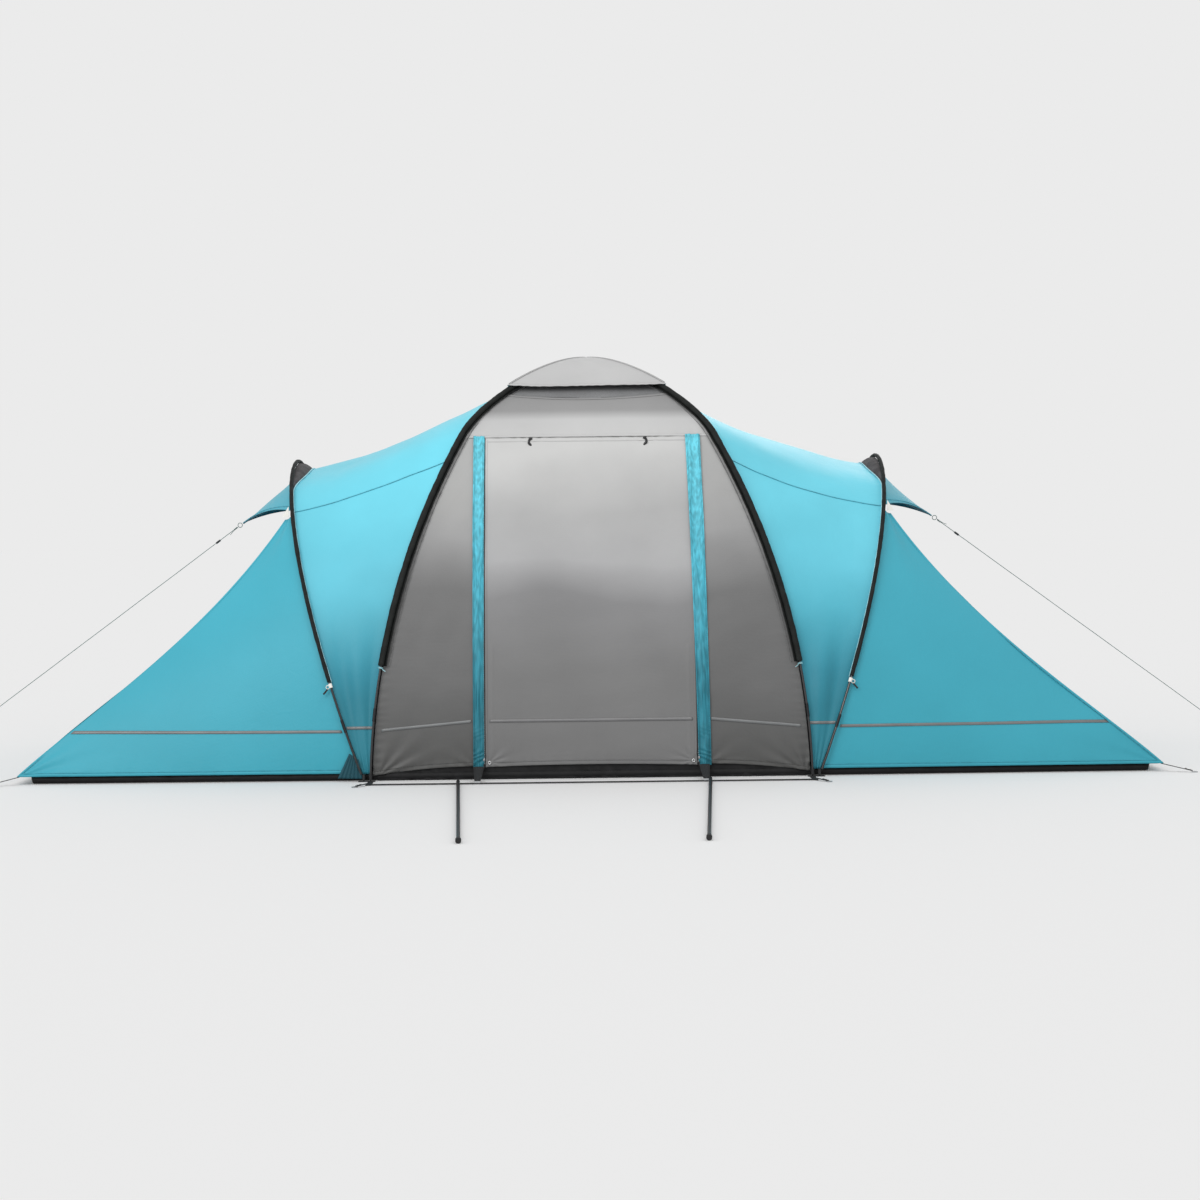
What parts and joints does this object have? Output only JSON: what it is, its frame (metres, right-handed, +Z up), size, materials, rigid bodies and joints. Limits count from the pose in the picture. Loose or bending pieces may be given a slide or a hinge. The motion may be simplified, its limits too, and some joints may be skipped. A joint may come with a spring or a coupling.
{
  "type": "tunnel tent",
  "caption": "Two-cabin camping tent: domed living bay with a zipped canopy door between low sleeping bays, on crossing and arch poles with guy lines.",
  "frame": {"origin": "on the ground, under the crossing of the two main poles", "axes": "+X along the tent, -Y towards the door, +Z up"},
  "size_m": [6.652, 4.2847, 1.9765],
  "materials": {
    "groundsheet": "woven polyethylene, low sheen",
    "fibreglass": "satin",
    "steel": "satin",
    "black_plastic": "matte",
    "sleeve_fabric": "woven polyester, low sheen",
    "webbing": "woven webbing",
    "cap_fabric": "coated polyester, soft sheen",
    "mesh": "fine net",
    "grey_fabric": "coated polyester, soft sheen",
    "light_cyan_fabric": "coated polyester, soft sheen",
    "deep_cyan_fabric": "coated polyester, soft sheen",
    "white_plastic": "satin",
    "inner_fabric": "breathable polyester, matte",
    "reflective_tape": "retroreflective tape",
    "guy_cord": "braided",
    "pole_paint": "satin"
  },
  "bodies": {
    "tent": {"groundsheet": "groundsheet", "pole_main_a": "fibreglass", "pole_main_b": "fibreglass", "pole_arch_left": "fibreglass", "pole_arch_right": "fibreglass", "pole_ferrules": "steel", "crossing_tie": "black_plastic", "sleeve_front_left": "sleeve_fabric", "sleeve_front_right": "sleeve_fabric", "sleeve_back_left": "sleeve_fabric", "sleeve_back_right": "sleeve_fabric", "sleeve_arch_left": "sleeve_fabric", "sleeve_arch_right": "sleeve_fabric", "roof_cap": "cap_fabric", "vent_mesh_front": "mesh", "vent_mesh_back": "mesh", "front_panel_left": "grey_fabric", "front_panel_right": "grey_fabric", "front_panel_top": "grey_fabric", "storm_strips": "light_cyan_fabric", "zip_tapes": "sleeve_fabric", "back_panel": "grey_fabric", "bedroom_roof_left": "light_cyan_fabric", "bedroom_roof_right": "light_cyan_fabric", "end_panel_left": "deep_cyan_fabric", "end_panel_right": "deep_cyan_fabric", "end_vent_left": "mesh", "end_vent_right": "mesh", "hood_left": "deep_cyan_fabric", "hood_right": "deep_cyan_fabric", "vent_props": "white_plastic", "skirt_front": "sleeve_fabric", "skirt_back": "sleeve_fabric", "inner_tent_left": "inner_fabric", "inner_tent_right": "inner_fabric", "pole_feet": "black_plastic", "corner_straps": "webbing", "peg_rings": "steel", "base_straps": "webbing", "strap_hooks": "webbing", "reflective_stripes": "reflective_tape", "sleeve_ties": "reflective_tape", "arch_clips": "white_plastic", "guy_line_left": "guy_cord", "guy_line_right": "guy_cord", "guy_rings": "steel"},
    "door": {"door_panel": "grey_fabric", "door_eyelets": "steel", "door_toggles": "black_plastic"},
    "zip_slider_left": {"zip_slider_left": "black_plastic"},
    "zip_slider_right": {"zip_slider_right": "black_plastic"},
    "inner_door_left": {"inner_door_left": "inner_fabric"},
    "inner_door_right": {"inner_door_right": "inner_fabric"},
    "guy_runner_left": {"guy_runner_left": "black_plastic"},
    "guy_runner_right": {"guy_runner_right": "black_plastic"},
    "canopy_pole_left": {"canopy_pole_left": "pole_paint", "canopy_cap_left": "black_plastic"},
    "canopy_pole_right": {"canopy_pole_right": "pole_paint", "canopy_cap_right": "black_plastic"}
  },
  "joints": [
    {"name": "door_open", "type": "hinge", "parent": "tent", "child": "door", "pos_m": [0, -0.60875, 1.55785], "axis": [-1, 0, 0], "range_deg": [0, 78]},
    {"name": "zip_left", "type": "hinge", "parent": "tent", "child": "zip_slider_left", "pos_m": [-0.4875, 2.34906, -0.08], "axis": [-1, 0, 0], "range_deg": [0, 25.5]},
    {"name": "zip_right", "type": "hinge", "parent": "tent", "child": "zip_slider_right", "pos_m": [0.4875, 2.34906, -0.08], "axis": [-1, 0, 0], "range_deg": [0, 25.5]},
    {"name": "inner_door_left_swing", "type": "hinge", "parent": "tent", "child": "inner_door_left", "pos_m": [-1.0465, 0.277, 0.58], "axis": [0, 0, 1], "range_deg": [0, 100]},
    {"name": "inner_door_right_swing", "type": "hinge", "parent": "tent", "child": "inner_door_right", "pos_m": [1.0465, 0.277, 0.58], "axis": [0, 0, -1], "range_deg": [0, 100]},
    {"name": "runner_left_slide", "type": "slide", "parent": "tent", "child": "guy_runner_left", "axis": [-0.8061, 0, -0.5918], "range_m": [-0.06, 1.2]},
    {"name": "runner_right_slide", "type": "slide", "parent": "tent", "child": "guy_runner_right", "axis": [0.8061, 0, -0.5918], "range_m": [-0.06, 1.2]},
    {"name": "canopy_left_raise", "type": "hinge", "parent": "tent", "child": "canopy_pole_left", "pos_m": [-0.5, -3, 0.011], "axis": [0.9986, 0.0537, 0], "range_deg": [0, 62]},
    {"name": "canopy_right_raise", "type": "hinge", "parent": "tent", "child": "canopy_pole_right", "pos_m": [0.415, -3, 0.011], "axis": [0.998, -0.0628, 0], "range_deg": [0, 62]}
  ]
}
